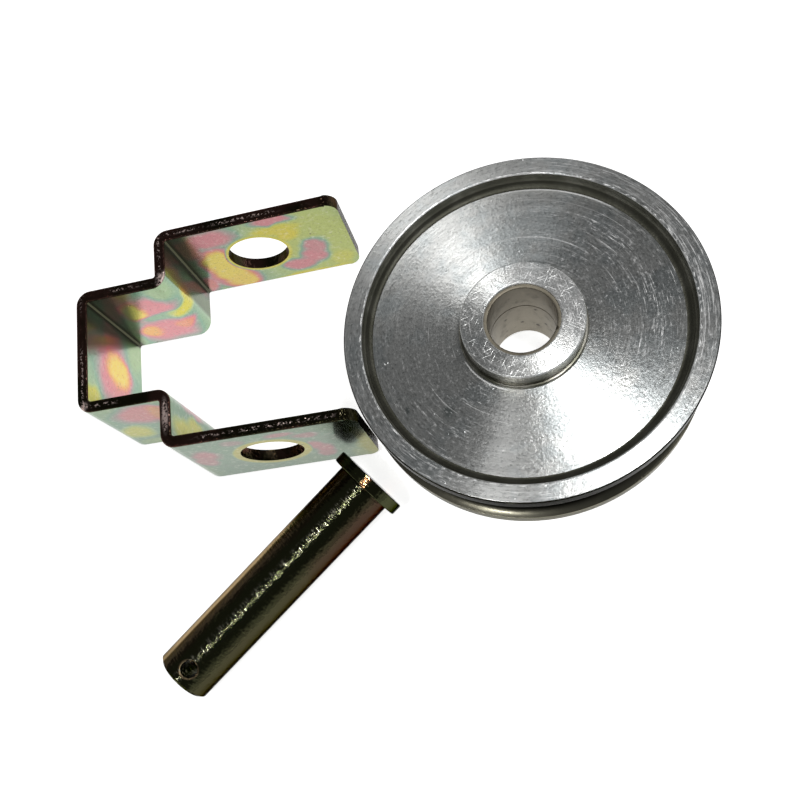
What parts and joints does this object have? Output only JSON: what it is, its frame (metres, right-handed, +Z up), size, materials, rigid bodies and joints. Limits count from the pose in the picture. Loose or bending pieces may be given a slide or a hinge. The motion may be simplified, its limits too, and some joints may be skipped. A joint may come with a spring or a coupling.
{
  "type": "gate wheel",
  "caption": "Round-grooved aluminium gate wheel with a bushed hub, laid out with its bent steel bracket and its headed pin.",
  "frame": {"origin": "middle of the wheel's bore, on its axis and halfway along the hub", "axes": "+Z up along the bore, off the surface the pieces lie on; +X along the bracket's ears, from its base towards the wheel; +Y across the ears"},
  "size_m": [0.1798, 0.1404, 0.037],
  "materials": {
    "wheel_aluminium": "turned, fine concentric tool marks, handled and scratched",
    "bush_metal": "dull brownish-grey bearing lining",
    "bracket_zinc": "yellow zinc plate with rainbow blotches, dark sheared edges",
    "pin_zinc": "dark olive zinc plate, glossy, fine turning marks"
  },
  "bodies": {
    "bracket": {"bent_bracket": "bracket_zinc"},
    "wheel": {"wheel_body": "wheel_aluminium", "upper_bush": "bush_metal", "lower_bush": "bush_metal"},
    "pin": {"clevis_pin": "pin_zinc"}
  },
  "joints": [
    {"name": "wheel_spin", "type": "hinge", "parent": "bracket", "child": "wheel", "pos_m": [0, 0, 0], "axis": [0, 0, 1], "continuous": true},
    {"name": "pin_slide", "type": "slide", "parent": "bracket", "child": "pin", "axis": [-0.7771, -0.6293, 0], "range_m": [0, 0.0782]}
  ]
}
